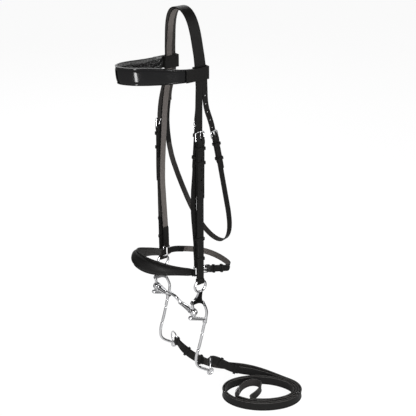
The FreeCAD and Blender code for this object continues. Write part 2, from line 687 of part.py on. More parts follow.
def cheek_plate(sign):
    """The flat web under the ring: neck, two branches and the arch between them."""
    outline = [(-4.5, -14.5), (-8.6, -22.0), (-13.5, -28.0), (-23.4, -33.0), (-24.4, -38.5)]
    back = [(4.5, -14.5), (3.4, -22.0), (3.0, -30.0), (6.6, -40.0), (11.5, -50.0), (9.0, -52.0)]
    arch_line = [(9.0, -52.0), (2.0, -43.5), (-6.0, -39.5), (-14.5, -39.2), (-24.4, -38.5)]

    def edge(marks):
        return curve_through([at_bit(x, z, sign) for x, z in marks]).toShape()

    wire = Part.Wire(Part.sortEdges([edge(list(reversed(outline))),
                                     Part.makeLine(at_bit(*outline[0], sign), at_bit(*back[0], sign)),
                                     edge(back), edge(arch_line)])[0])
    plate = Part.Face(wire).extrude(V(0, 5.6, 0))
    plate.translate(V(0, -2.8, 0))
    return plate


def bit_cheek(name, sign):
    """Ring, web, slide bar, foot and rear branch of one cheek: a single casting."""
    ring = Part.makeTorus(RING_RADIUS, RING_WIRE, at_bit(0, 0, sign), V(0, 1, 0))
    slide = Part.makeCylinder(BAR_RADIUS, (BAR_FOOT - BAR_TOP).Length + LAP,
                              at_bit(BAR_TOP.x, BAR_TOP.z, sign) - BAR_WAY * (LAP / 2.0), BAR_WAY)
    toe, heel = at_bit(-26.0, -70.8, sign), at_bit(BOSS.x, BOSS.z + 1.5, sign)
    foot = cone_between(toe, heel, TOE_RADIUS, 3.3)
    branch_marks = [(7.4, -42.0), (12.4, -54.0), (16.2, -66.0), (16.6, -77.0), (BOSS.x, BOSS.z)]
    branch = rod([at_bit(x, z, sign) for x, z in branch_marks], 3.2)
    cap = Part.makeSphere(3.2, at_bit(*branch_marks[0], sign))
    down = shank_direction()
    boss = Part.makeCylinder(4.4, 7.0, at_bit(BOSS.x, BOSS.z, sign) - down * 3.5, down)
    body = fuse(ring, cheek_plate(sign), slide, foot, Part.makeSphere(TOE_RADIUS, toe), branch, cap, boss)
    hole = Part.makeTorus(RING_RADIUS, RING_WIRE, at_bit(0, 0, sign), V(0, 1, 0))
    core = Part.makeCylinder(RING_RADIUS - RING_WIRE, 20, at_bit(0, 0, sign) - V(0, 10, 0), V(0, 1, 0))
    body = body.cut(core.cut(hole))
    save(name, body)


SHANK_MARKS = [(9.0, -105.0), (-3.0, -150.0), (-11.0, -178.0), (-9.0, -196.0), (1.0, -208.0),
               (12.0, -216.0), (EYE.x - 5.2, EYE.z + 4.6)]


def shank_direction():
    first = V(SHANK_MARKS[0][0], 0, SHANK_MARKS[0][1])
    return (first - V(BOSS.x, 0, BOSS.z)).normalize()


def shank(name, sign):
    """The lower shank: a collar on the cheek's boss, a long swept rod and the rein eye."""
    down = shank_direction()
    start = at_bit(BOSS.x, BOSS.z, sign) + down * 3.5
    collar = Part.makeCylinder(4.9, 3.0, start, down)
    collar = collar.makeFillet(0.9, [e for e in collar.Edges if len(e.Vertexes) == 1])
    waist = cone_between(start + down * 2.5, start + down * 9.0, 4.2, SHANK_RADIUS)
    marks = [start + down * 6.0] + [at_bit(x, z, sign) for x, z in SHANK_MARKS]
    body = rod(marks, SHANK_RADIUS)
    ring = Part.makeTorus(EYE_RADIUS, EYE_WIRE, at_bit(EYE.x, EYE.z, sign), V(0, 1, 0))
    core = Part.makeCylinder(EYE_RADIUS - EYE_WIRE, 20, at_bit(EYE.x, EYE.z, sign) - V(0, 10, 0), V(0, 1, 0))
    hole = core.cut(ring)
    save(name, fuse(collar, waist, body, ring).cut(hole))


def mouth_point(y, sign=FAR):
    """A point on the mouthpiece's axis, y from the middle."""
    return V(BIT_RING.x + MOUTH.x, sign * y, BIT_RING.z + MOUTH.z)


def cannon(name, sign):
    """One arm of the mouthpiece: a ball that slides on the cheek's bar, a collar, a tapered arm
    and a pin that carries the port."""
    inwards = V(0, -sign, 0)
    ball_y = BIT_RING.y
    ball = Part.makeSphere(BALL_RADIUS, mouth_point(ball_y, sign))
    neck = Part.makeCylinder(5.6, 10.0, mouth_point(ball_y - 4.0, sign), inwards)
    collar = Part.makeCylinder(7.6, 3.0, mouth_point(ball_y - 10.5, sign), inwards)
    collar = collar.makeFillet(0.8, [e for e in collar.Edges if len(e.Vertexes) == 1])
    arm = cone_between(mouth_point(ball_y - 13.0, sign), mouth_point(PORT_HALF + 3.0, sign), 7.0, 4.6)
    bead = Part.makeSphere(5.4, mouth_point(PORT_HALF + 4.2, sign))
    face = Part.makeBox(20, 20, 20, V(-10, -10, 0))
    trim = Seat(mouth_point(PORT_HALF + 0.6, sign), inwards, V(1, 0, 0)).put(face)
    pin = Part.makeCylinder(2.4, 10.0, mouth_point(PORT_HALF + 2.0, sign), inwards)
    body = fuse(fuse(ball, neck, collar, arm, bead).cut(trim), pin)
    hole = Part.makeCylinder(BAR_RADIUS + PIN_FIT, 60,
                             at_bit(BAR_TOP.x, BAR_TOP.z, sign) - BAR_WAY * 15.0, BAR_WAY)
    save(name, body.cut(hole))


def port_link():
    """The raised middle of the mouthpiece, hung on the pins of both arms."""
    rise = 17.0
    lean = V(-0.45, 0, 0.89)
    line = [(24.0, 1.0), (20.5, 7.0), (14.0, 14.0), (0.0, rise), (-14.0, 14.0), (-20.5, 7.0), (-24.0, 1.0)]
    arch_rod = rod([mouth_point(0) + V(0, y, 0) + lean * z for y, z in line], 3.6)
    pieces = [arch_rod]
    holes = []
    for sign in (NEAR, FAR):
        inwards = V(0, -sign, 0)
        barrel = Part.makeCylinder(4.9, 7.0, mouth_point(PORT_HALF, sign), inwards)
        pieces.append(barrel.makeFillet(0.7, [e for e in barrel.Edges if len(e.Vertexes) == 1]))
        holes.append(Part.makeCylinder(2.4 + PIN_FIT, 9.0, mouth_point(PORT_HALF + 0.5, sign), inwards))
    body = fuse(*pieces)
    for hole in holes:
        body = body.cut(hole)
    save("port_link", body)


def rein_ring_way(sign):
    """The horizontal direction in the plane of a rein ring."""
    return V(sin(REIN_RING_TURN[sign]), cos(REIN_RING_TURN[sign]), 0)


def rein_ring_middle(sign):
    return at_bit(EYE.x, EYE.z, sign) + V(0, 0, REIN_RING_RADIUS)


def rein_ring(name, sign):
    normal = rein_ring_way(sign).cross(V(0, 0, 1))
    save(name, Part.makeTorus(REIN_RING_RADIUS, REIN_RING_WIRE, rein_ring_middle(sign), normal))


# ---------------------------------------------------------------- reins
REIN_LAY = FLOOR_Z + REIN_WIDTH / 2.0    # height of a rein's middle when it lies on edge

REIN_END_NEAR = [V(36.5, -50.8, -795.2), V(46.0, -51.8, -799.8), V(58.0, -60.0, -808.0),
                 V(72.0, -74.5, -816.5), V(86.0, -89.0, REIN_LAY + 0.8)]
REIN_END_FAR = [V(15.6, 40.3, -796.5), V(19.2, 29.5, -803.2), V(29.0, 12.0, -814.5),
                V(43.0, -12.0, REIN_LAY + 0.8)]
REIN_ROUTE_NEAR = [V(86.0, -89.0, REIN_LAY + 0.8), V(104.0, -110.0, REIN_LAY), V(126.0, -150.0, REIN_LAY),
                   V(140.0, -190.0, REIN_LAY)]
REIN_ROUTE_FAR = [V(43.0, -12.0, REIN_LAY + 0.8), V(63.0, -46.0, REIN_LAY), V(98.0, -82.0, REIN_LAY),
                  V(130.0, -136.0, REIN_LAY), V(146.0, -186.0, REIN_LAY)]


def rein_end(tag, sign, line, hand):
    """The sewn end of a rein: folded round the rein ring and doubled to its keepers."""
    way = rein_ring_way(sign) * hand
    wire = rein_ring_middle(sign) + way * REIN_RING_RADIUS
    hollow = 3.3
    seat = Seat(wire - way * 2.2, way, V(0, 0, 1).cross(way))
    fold = eye(seat, hollow - BAR_FIT, REIN_THICK, 15.0, 3.4)
    start = seat.point(0, 0, 3.4 + hollow + 0.6)
    points = [start] + line
    widths = [15.0, 17.0, REIN_WIDTH, REIN_WIDTH, REIN_WIDTH, REIN_WIDTH, REIN_WIDTH]
    body = strap(points, widths, 2 * REIN_THICK, V(0, 0, 1), 6.0)
    whole = fuse(fold, body)
    save("rein_end_" + tag, whole)
    curve = curve_through(points)
    loops = []
    for share in (0.42, 0.9):
        u = curve.parameterAtDistance(share * curve.length(), curve.FirstParameter)
        tangent = tangent_at(curve, u)
        outward = V(0, 0, 1).cross(tangent)
        place = Seat(curve.value(u), tangent, outward)
        room = 0.5
        loops.append(keeper(place, REIN_WIDTH + room, -REIN_THICK - room, REIN_THICK + room, 6.0, 1.3))
    save("rein_keepers_" + tag, Part.makeCompound(loops))
    return whole


def route_run(name, route, cutters):
    """A rein on edge: straight runs joined by tangent arcs, cut where it meets its neighbours."""
    plan = [V(p.x, p.y, 0) for p in route]
    edges = []
    radii = []
    start = plan[0]
    for before, corner, after in zip(plan, plan[1:], plan[2:]):
        towards, away = (corner - before), (after - corner)
        turn = towards.getAngle(away)
        shorter = min(towards.Length, away.Length)
        reach = 0.45 * shorter
        radii.append(reach / (sin(turn / 2.0) / cos(turn / 2.0)))
        first = corner - towards.normalize() * reach
        last = corner + away.normalize() * reach
        bulge = radii[-1] * (1 / cos(turn / 2.0) - 1)
        middle = corner + ((first + last) * 0.5 - corner).normalize() * bulge
        edges.append(Part.makeLine(start, first))
        edges.append(Part.Arc(first, middle, last).toShape())
        start = last
    edges.append(Part.makeLine(start, plan[-1]))
    print("%s bend radii: %s" % (name, ", ".join("%.0f" % r for r in radii)))
    line = Part.Wire(edges)
    half = REIN_THICK / 2.0
    ribbon = line.makePipeShell([Part.Wire([Part.makeLine(*across_line(plan, half))])], False, False)
    ribbon.translate(V(0, 0, FLOOR_Z))
    solid = fuse(*[face.extrude(V(0, 0, REIN_WIDTH)) for face in ribbon.Faces])
    for cutter in cutters:
        solid = solid.cut(cutter)
    solid = max(solid.Solids, key=lambda piece: piece.Volume)
    save(name, solid)


def across_line(plan, half):
    """The ends of a short line across the start of a plan route."""
    way = (plan[1] - plan[0]).normalize()
    across = V(-way.y, way.x, 0) * half
    return plan[0] - across, plan[0] + across


def coil_solid():
    """The outer shape of the laid coil: an oval block with a pocket for the centre buckle."""
    oval = Part.Ellipse(V(0, 0, 0), COIL_HALF_LONG, COIL_HALF_SHORT)
    block = Part.Face(Part.Wire([oval.toShape()])).extrude(V(0, 0, REIN_WIDTH))
    block.rotate(V(0, 0, 0), V(0, 0, 1), degrees(COIL_TURN))
    block.translate(COIL_CENTRE + V(0, 0, FLOOR_Z))
    return block


REIN_BUCKLE_AT = V(20.0, -166.0, FLOOR_Z + 12.8)
REIN_BUCKLE_AIM = V(0.86, 0.50, 0)


def rein_buckle():
    """The centre buckle that joins the two reins, standing on edge in the coil."""
    seat = Seat(REIN_BUCKLE_AT, REIN_BUCKLE_AIM, V(0, 0, 1).cross(REIN_BUCKLE_AIM))
    return Buckle(seat, REIN_WIDTH - 0.6, REIN_THICK, 1.4, 16.0)


def coil_and_buckle():
    buckle = rein_buckle()
    pocket = Part.makeBox(40.0, 16.0, 27.0, V(-20.0, -6.5, -5.0))
    pocket_seat = Seat(buckle.seat.origin, V(buckle.seat.z), V(buckle.seat.y))
    save("rein_coil", coil_solid().cut(pocket_seat.put(pocket)))
    save("rein_buckle", buckle.frame())
    save("rein_tongue", buckle.tongue())


def main():
    crownpiece()
    browband()
    browband_loop("browband_loop_near", NEAR)
    browband_loop("browband_loop_far", FAR)
    for tag, sign in (("near", NEAR), ("far", FAR)):
        cheekpiece("cheekpiece_" + tag, sign)
        cheek_fittings(tag, sign)
        noseband_ring("noseband_ring_" + tag, sign)
        bit_cheek("bit_cheek_" + tag, sign)
        shank("shank_" + tag, sign)
        cannon("cannon_" + tag, sign)
        rein_ring("rein_ring_" + tag, sign)
    cavesson_headstrap()
    cavesson_cheek()
    noseband_front()
    noseband_rear()
    throatlatch()
    port_link()
    coil = coil_solid()
    route_run("rein_run_near", REIN_ROUTE_NEAR, [coil, rein_end("near", NEAR, REIN_END_NEAR, 1)])
    route_run("rein_run_far", REIN_ROUTE_FAR, [coil, rein_end("far", FAR, REIN_END_FAR, -1)])
    coil_and_buckle()


main()
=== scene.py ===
import json
from math import cos, pi, radians, sin

import bmesh
import bpy
import numpy as np
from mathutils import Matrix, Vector
from mathutils.bvhtree import BVHTree


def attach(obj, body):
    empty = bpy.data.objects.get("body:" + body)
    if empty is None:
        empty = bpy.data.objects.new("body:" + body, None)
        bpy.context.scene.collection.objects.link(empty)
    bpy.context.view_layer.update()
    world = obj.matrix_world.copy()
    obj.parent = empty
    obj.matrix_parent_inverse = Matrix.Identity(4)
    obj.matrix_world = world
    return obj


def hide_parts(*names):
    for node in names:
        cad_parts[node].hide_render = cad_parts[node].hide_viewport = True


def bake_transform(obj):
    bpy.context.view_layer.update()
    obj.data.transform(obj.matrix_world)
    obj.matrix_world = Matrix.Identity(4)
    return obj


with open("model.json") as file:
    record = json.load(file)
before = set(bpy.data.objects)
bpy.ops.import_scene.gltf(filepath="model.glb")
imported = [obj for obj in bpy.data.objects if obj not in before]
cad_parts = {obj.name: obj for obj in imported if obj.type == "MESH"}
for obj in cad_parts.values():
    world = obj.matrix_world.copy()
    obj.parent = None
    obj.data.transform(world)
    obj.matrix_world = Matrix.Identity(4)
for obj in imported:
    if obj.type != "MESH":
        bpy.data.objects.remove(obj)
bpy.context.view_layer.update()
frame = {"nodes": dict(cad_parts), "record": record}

NODES = frame["nodes"]
BODY_OF = {node: body for body, nodes in frame["record"]["behaviour"]["bodies"].items() for node in nodes}
MM = 0.001
NEAR, FAR = -1, 1
FLOOR_Z = -832.0


# ---------------------------------------------------------------- materials
def principled(name, color, rough, metal=0.0, specular=0.5, coat=0.0):
    """A plain material with one shader."""
    material = bpy.data.materials.new(name)
    material.use_nodes = True
    shader = material.node_tree.nodes["Principled BSDF"]
    shader.inputs["Base Color"].default_value = (*color, 1.0)
    shader.inputs["Roughness"].default_value = rough
    shader.inputs["Metallic"].default_value = metal
    shader.inputs["Specular IOR Level"].default_value = specular
    shader.inputs["Coat Weight"].default_value = coat
    return material


def add_grain(material, scale, strength, distance, dark, light, detail=4.0):
    """Fine grain: a bump and a slight change of colour, both from one noise."""
    tree = material.node_tree
    shader = tree.nodes["Principled BSDF"]
    place = tree.nodes.new("ShaderNodeTexCoord")
    noise = tree.nodes.new("ShaderNodeTexNoise")
    noise.inputs["Scale"].default_value = scale
    noise.inputs["Detail"].default_value = detail
    bump = tree.nodes.new("ShaderNodeBump")
    bump.inputs["Strength"].default_value = strength
    bump.inputs["Distance"].default_value = distance
    ramp = tree.nodes.new("ShaderNodeValToRGB")
    ramp.color_ramp.elements[0].position = 0.3
    ramp.color_ramp.elements[0].color = (*dark, 1.0)
    ramp.color_ramp.elements[1].position = 0.75
    ramp.color_ramp.elements[1].color = (*light, 1.0)
    tree.links.new(place.outputs["Object"], noise.inputs["Vector"])
    tree.links.new(noise.outputs["Fac"], bump.inputs["Height"])
    tree.links.new(noise.outputs["Fac"], ramp.inputs["Fac"])
    tree.links.new(ramp.outputs["Color"], shader.inputs["Base Color"])
    tree.links.new(bump.outputs["Normal"], shader.inputs["Normal"])
    return material


def add_smudges(material, scale, low, high):
    """Roughness that wanders between two values, as on handled metal or patent leather."""
    tree = material.node_tree
    place = tree.nodes.new("ShaderNodeTexCoord")
    noise = tree.nodes.new("ShaderNodeTexNoise")
    noise.inputs["Scale"].default_value = scale
    noise.inputs["Detail"].default_value = 3.0
    spread = tree.nodes.new("ShaderNodeMapRange")
    spread.inputs["From Min"].default_value = 0.3
    spread.inputs["From Max"].default_value = 0.7
    spread.inputs["To Min"].default_value = low
    spread.inputs["To Max"].default_value = high
    tree.links.new(place.outputs["Object"], noise.inputs["Vector"])
    tree.links.new(noise.outputs["Fac"], spread.inputs["Value"])
    tree.links.new(spread.outputs["Result"], tree.nodes["Principled BSDF"].inputs["Roughness"])
    return material


LEATHER = add_grain(principled("black_leather", (0.007, 0.007, 0.007), 0.5, specular=0.09), 900, 0.35, 0.0003,
                    (0.0045, 0.0043, 0.0042), (0.0095, 0.0091, 0.0088))
FLESH = add_grain(principled("flesh_side", (0.08, 0.072, 0.068), 0.85, specular=0.15), 1400, 0.5, 0.0004,
                  (0.055, 0.049, 0.046), (0.1, 0.09, 0.084))
# a darker grey flesh side, used on the crownpiece, cheekpieces, throatlatch and reins
DARK_FLESH = add_grain(principled("darker_flesh_side", (0.02, 0.018, 0.017), 0.75, specular=0.15), 1400, 0.5,
                       0.0004, (0.014, 0.0128, 0.0122), (0.028, 0.0255, 0.024))
PATENT = add_smudges(principled("patent_leather", (0.003, 0.003, 0.0033), 0.1, specular=0.12, coat=0.1), 60,
                     0.08, 0.16)
PATENT_INSIDE = add_grain(principled("patent_inside", (0.006, 0.006, 0.006), 0.12, specular=0.5, coat=0.8),
                          150, 1.0, 0.004, (0.004, 0.004, 0.004), (0.009, 0.009, 0.009), 2.0)
LINING = add_grain(principled("soft_lining", (0.025, 0.024, 0.023), 0.6, specular=0.2), 700, 0.4, 0.0004,
                   (0.016, 0.0153, 0.0146), (0.031, 0.0295, 0.0285))
# the reins' edges: glossy leather edges in a lighter grey, which is a painted highlight along the rims of the
# coiled layers
EDGE_PAINTED_HIGHLIGHT = add_grain(principled("edge_painted_highlight", (0.06, 0.058, 0.056), 0.4, specular=0.4), 1200, 0.3, 0.0002,
                 (0.06, 0.057, 0.055), (0.11, 0.105, 0.101))
THREAD = add_grain(principled("thread", (0.02, 0.0195, 0.019), 0.6, specular=0.2), 2500, 0.4, 0.0002,
                   (0.013, 0.0125, 0.012), (0.026, 0.025, 0.024))
CHROME = add_smudges(principled("chrome", (0.52, 0.52, 0.53), 0.09, metal=1.0), 45, 0.05, 0.15)
FLOOR = principled("paper", (0.12, 0.12, 0.12), 0.9, specular=0.0)
FLOOR.node_tree.nodes["Principled BSDF"].inputs["Emission Color"].default_value = (1, 1, 1, 1)
FLOOR.node_tree.nodes["Principled BSDF"].inputs["Emission Strength"].default_value = 0.93


# ---------------------------------------------------------------- curves and sweeps
def spline(points, step=1.0):
    """Evenly spaced points along the natural cubic through the given ones (millimetres)."""
    knots = np.array(points, float)
    count = len(knots)
    t = np.concatenate([[0.0], np.cumsum(np.linalg.norm(np.diff(knots, axis=0), axis=1))])
    gap = np.diff(t)
    system, right = np.eye(count), np.zeros((count, 3))
    for i in range(1, count - 1):
        system[i, i - 1:i + 2] = gap[i - 1], 2 * (gap[i - 1] + gap[i]), gap[i]
        right[i] = 6 * ((knots[i + 1] - knots[i]) / gap[i] - (knots[i] - knots[i - 1]) / gap[i - 1])
    bend = np.linalg.solve(system, right)
    fine = np.linspace(0, t[-1], max(200, int(t[-1] * 4)))
    i = np.clip(np.searchsorted(t, fine, "right") - 1, 0, count - 2)
    a, b, h = (t[i + 1] - fine)[:, None], (fine - t[i])[:, None], gap[i][:, None]
    line = (bend[i] * a ** 3 + bend[i + 1] * b ** 3) / (6 * h)
    line += (knots[i] / h - bend[i] * h / 6) * a + (knots[i + 1] / h - bend[i + 1] * h / 6) * b
    return respaced(line, step)


def respaced(line, step):
    """The same line with points about step apart."""
    line = np.array(line, float)
    run = np.concatenate([[0.0], np.cumsum(np.linalg.norm(np.diff(line, axis=0), axis=1))])
    places = np.linspace(0, run[-1], max(3, int(round(run[-1] / step)) + 1))
    return np.stack([np.interp(places, run, line[:, k]) for k in range(3)], axis=1)


def length_of(line):
    """The length of a line of points (millimetres)."""
    return float(np.linalg.norm(np.diff(np.array(line), axis=0), axis=1).sum())


def unit(v):
    """The vector, or each vector of an array, at length 1."""
    return v / np.maximum(np.linalg.norm(v, axis=-1, keepdims=True), 1e-9)


def frames(line, across, outside):
    """The width and outward directions at each point; outside(points) points away from the head."""
    tangent = unit(np.gradient(line, axis=0))
    across = np.broadcast_to(np.array(across, float), line.shape)
    wide = unit(across - tangent * (across * tangent).sum(1, keepdims=True))
    normal = np.cross(tangent, wide)
    hand = 1.0 if (normal * outside(line)).sum() > 0 else -1.0
    return wide, normal * hand


def share_of(values, s):
    """A value, or a list of them spread evenly over 0..1, at s."""
    if np.isscalar(values):
        return values
    return float(np.interp(s, np.linspace(0, 1, len(values)), values))


def sweep(name, line, profile, across, outside, materials, body=None):
    """A mesh swept along a line. profile(s) gives (across, outwards, material) for each corner."""
    wide, normal = frames(line, across, outside)
    vertices, faces, slots = [], [], []
    count = len(line)
    for i, point in enumerate(line):
        corners = profile(i / (count - 1.0))
        vertices += [tuple((point + wide[i] * a + normal[i] * b) * MM) for a, b, _ in corners]
    ring = len(corners)
    for i in range(count - 1):
        for k in range(ring):
            n = (k + 1) % ring
            faces.append((i * ring + k, i * ring + n, (i + 1) * ring + n, (i + 1) * ring + k))
            slots.append(corners[k][2])
    faces += [tuple(range(ring - 1, -1, -1)), tuple(range((count - 1) * ring, count * ring))]
    slots += [0, 0]
    mesh = bpy.data.meshes.new(name)
    mesh.from_pydata(vertices, [], faces)
    mesh.polygons.foreach_set("material_index", slots)
    return finish_mesh(name, mesh, materials, body)


def finish_mesh(name, mesh, materials, body):
    """An object of the mesh, smooth up to its creases, with its materials and its body."""
    made = bmesh.new()
    made.from_mesh(mesh)
    bmesh.ops.recalc_face_normals(made, faces=made.faces)
    made.to_mesh(mesh)
    made.free()
    mesh.polygons.foreach_set("use_smooth", [True] * len(mesh.polygons))
    mesh.set_sharp_from_angle(angle=radians(50))
    obj = bpy.data.objects.new(name, mesh)
    bpy.context.scene.collection.objects.link(obj)
    for material in materials:
        mesh.materials.append(material)
    if body:
        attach(obj, body)
    return obj


def flat_profile(width, thick, flesh=None):
    """A strap's section: rounded edges, a flat face and a flat flesh side.

    flesh is -1 or 1, the side that shows the flesh: that face has material 1 and the edges have
    material 2. Where flesh is None, the whole section has material 0."""

    def profile(s):
        half, deep = share_of(width, s) / 2.0, share_of(thick, s) / 2.0
        edge = min(0.9, deep * 0.7)
        corners = []
        for side_a, side_b, turn in ((1, -1, 1), (1, 1, 0), (-1, 1, 1), (-1, -1, 0)):
            steps = [(0.0, 1.0), (0.3, 0.3), (1.0, 0.0)]
            if turn:
                steps = steps[::-1]
            steps = steps[::-1]
            for p, q in steps:
                corners.append((side_a * (half - edge * p), side_b * (deep - edge * q)))
        out = []
        for k, (a, b) in enumerate(corners):
            a2, b2 = corners[(k + 1) % len(corners)]
            face = flesh is not None and b * flesh > 0 and b2 * flesh > 0 and abs(a - a2) > half
            rim = flesh is not None and abs(a + a2) > 2 * half - 1.2 * edge
            out.append((a, b, 1 if face else 2 if rim else 0))
        return out

    return profile


# ---------------------------------------------------------------- stitching
STITCHES = {}


def stitch_row(body, line, wide, normal, offset, lift, pitch=3.0, long=2.1, fat=0.55):
    """A row of stitches beside a line, lying on the face at lift."""
    line = np.array(line)
    run = np.concatenate([[0.0], np.cumsum(np.linalg.norm(np.diff(line, axis=0), axis=1))])
    tangent = unit(np.gradient(line, axis=0))
    for place in np.arange(pitch, run[-1] - pitch / 2, pitch):
        at = np.array([np.interp(place, run, line[:, k]) for k in range(3)])
        i = min(int(np.searchsorted(run, place)), len(line) - 1)
        share = place / run[-1]
        middle = at + wide[i] * share_of(offset, share) + normal[i] * share_of(lift, share)
        bead = (middle, tangent[i] * long / 2, wide[i] * fat / 2, normal[i] * fat / 2)
        STITCHES.setdefault(body, []).append(bead)


def sewn(node, points, high, low, half_width, side):
    """Stitches laid on a strap's outer face between two heights, one row beside each edge."""
    skin = NODES[node].data
    tree = BVHTree.FromPolygons([v.co / MM for v in skin.vertices], [p.vertices for p in skin.polygons])
    line = spline(points, 1.0)
    line = line[(line[:, 2] < high) & (line[:, 2] > low)]
    side = np.array(side, float)
    tangent = unit(np.gradient(line, axis=0))
    wide = unit(np.cross(tangent, side))
    above, search, half_long, half_fat, lift = 12.0, 20.0, 1.05, 0.28, 0.1
    for i in range(2, len(line) - 1, 3):
        for row in (-1, 1):
            start = line[i] + wide[i] * row * half_width + side * above
            spot, normal, _, _ = tree.ray_cast(Vector(start), Vector(-side), search)
            if spot is not None:
                up = np.array(normal)
                bead = (np.array(spot) + up * lift, tangent[i] * half_long, wide[i] * half_fat, up * half_fat)
                STITCHES.setdefault(BODY_OF[node], []).append(bead)


def make_stitches():
    """All stitches of a body as one mesh of small rounded beads."""
    for body, beads in STITCHES.items():
        vertices, faces = [], []
        for middle, along, wide, up in beads:
            base = len(vertices)
            for share, size in ((-1.0, 0.35), (-0.6, 1.0), (0.6, 1.0), (1.0, 0.35)):
                for turn in range(6):
                    angle = turn * pi / 3
                    spot = middle + along * share + (wide * cos(angle) + up * sin(angle)) * size
                    vertices.append(tuple(spot * MM))
            for ring in range(3):
                for k in range(6):
                    a, b = base + ring * 6 + k, base + ring * 6 + (k + 1) % 6
                    faces.append((a, b, b + 6, a + 6))
            faces.append(tuple(base + k for k in range(5, -1, -1)))
            faces.append(tuple(base + 18 + k for k in range(6)))
        mesh = bpy.data.meshes.new("stitches_" + body)
        mesh.from_pydata(vertices, [], faces)
        obj = finish_mesh("stitches_" + body, mesh, [THREAD], body)


# ---------------------------------------------------------------- leather that keeps the shape of its solid
HEAD_X, POLL_Z = 5.0, -60.0
THROAT_MIDDLE = np.array([40.0, 4.0, -380.0])


def head_outside(points):
    """Away from the middle of the head, for the straps that go round it."""
    points = np.atleast_2d(points)
    middle = np.stack([np.full(len(points), HEAD_X), np.zeros(len(points)),
                       np.minimum(points[:, 2], POLL_Z)], axis=1)
    return unit(points - middle)


def throat_outside(points):
    """Away from the middle of the throatlatch's loop."""
    return unit(np.atleast_2d(points) - THROAT_MIDDLE)


def leather(node, outside=head_outside, flesh=FLESH, single=None, edge=0.45):
    """A leather piece after a CAD node: softened edges, with the flesh side showing inside.

    single(centre) says whether the strap is one layer thick there, so that its flesh side shows."""
    mesh = NODES[node].data.copy()
    mesh.name = "leather_" + node
    mesh.materials.clear()
    made = bmesh.new()
    made.from_mesh(mesh)
    bmesh.ops.remove_doubles(made, verts=made.verts, dist=0.02 * MM)
    bmesh.ops.dissolve_limit(made, angle_limit=radians(2.0), verts=made.verts, edges=made.edges)
    made.normal_update()
    for face in made.faces:
        centre = np.array(face.calc_center_median()) / MM
        inward = float(outside(centre)[0].dot(np.array(face.normal))) < -0.6
        face.material_index = 1 if inward and single and single(centre) else 0
        face.smooth = True
    made.to_mesh(mesh)
    made.free()
    mesh.materials.append(LEATHER)
    mesh.materials.append(flesh)
    mesh.set_sharp_from_angle(angle=radians(40))
    obj = bpy.data.objects.new("leather_" + node, mesh)
    bpy.context.scene.collection.objects.link(obj)
    bevel = obj.modifiers.new("edge", "BEVEL")
    bevel.width = edge * MM
    bevel.segments = 2
    bevel.limit_method = "ANGLE"
    bevel.angle_limit = radians(45)
    bevel.harden_normals = True
    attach(obj, BODY_OF[node])
    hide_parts(node)
    return obj


def always(_):
    """For straps that are one layer thick all along."""
    return True


leather("crownpiece", flesh=DARK_FLESH, single=always)
for tag in ("near", "far"):
    loop = leather("browband_loop_" + tag)
    loop.data.materials.append(PATENT)
    for face in loop.data.polygons:
        if face.center.x < -13.5 * MM:
            face.material_index = 2
    leather("cheekpiece_" + tag, flesh=DARK_FLESH, single=lambda c: -470 < c[2] < -326)
    leather("cheek_keepers_" + tag)
    leather("bit_keepers_" + tag)
    leather("rein_end_" + tag, edge=0.6)
    leather("rein_keepers_" + tag)
leather("cavesson_headstrap", single=lambda c: c[2] > -470)
leather("cavesson_cheek", single=lambda c: c[2] < -320)
leather("cavesson_keepers")
leather("noseband_rear", single=lambda c: c[0] > 36)
leather("noseband_billet")
leather("noseband_keepers")
leather("throatlatch", outside=throat_outside, flesh=DARK_FLESH, single=always)
leather("throat_keepers")

# the metal pieces keep the shape of their solids
for node in NODES.values():
    if not node.hide_render:
        node.data.materials.clear()
        node.data.materials.append(CHROME)

# stitching of the doubled ends, beside the buckles and above the rings;
# the far cheekpiece hangs further forward at its top
FAR_LEAD = -15.5
for tag, sign, lead in (("near", NEAR, 0.0), ("far", FAR, FAR_LEAD)):
    cheek = [(x + lead * share, sign * y, z) for x, y, z, share in (
        (0.5, 60.5, -259.0, 1.0), (0.4, 60.5, -300.0, 1.0), (-0.2, 61.0, -340.0, 1.0),
        (-4.0, 66.2, -440.0, 0.46), (-7.2, 71.0, -535.0, 0.06), (-8.0, 72.0, -556.0, 0.0),
        (-8.0, 72.0, -563.0, 0.0))]
    sewn("cheekpiece_" + tag, cheek, -268.0, -328.0, 6.2, (0, sign, 0))
    sewn("cheekpiece_" + tag, cheek, -464.0, -560.0, 6.2, (0, sign, 0))
cavesson = [(2.8, -50.0, -235.0), (0.9, -50.0, -262.0), (-1.8, -50.0, -300.0), (-4.6, -50.2, -330.0),
            (-8.4, -51.2, -365.0), (-11.0, -53.6, -410.0), (-9.7, -56.4, -455.0), (-7.4, -58.7, -500.0),
            (-7.0, -60.0, -526.0), (-7.0, -60.0, -536.0)]
sewn("cavesson_cheek", cavesson, -240.0, -318.0, 4.8, (0, -1, 0))
sewn("cavesson_cheek", cavesson, -492.0, -534.0, 4.8, (0, -1, 0))


# ---------------------------------------------------------------- padded and raised bands
def nose_line():
    """The noseband's line round the nose, from ring to ring: a full bow that rises in front."""
    half_width, reach, fullness, rise, steps = 59.0, 97.5, 2.5, 30.0, 12
    points = [(-15.5, -half_width, -552.0)]
    for i in range(1, steps):
        t = pi * i / steps
        hand = 1 if cos(t) >= 0 else -1
        points.append((-19.0 - reach * sin(t) ** (2.0 / fullness),
                       -half_width * hand * abs(cos(t)) ** (2.0 / fullness), -549.0 + rise * sin(t) ** 0.8))
    return points + [(-15.5, half_width, -552.0)]


BAND_STRAP = 3.2  # the thickness of a band's flat edge, under its raised middle


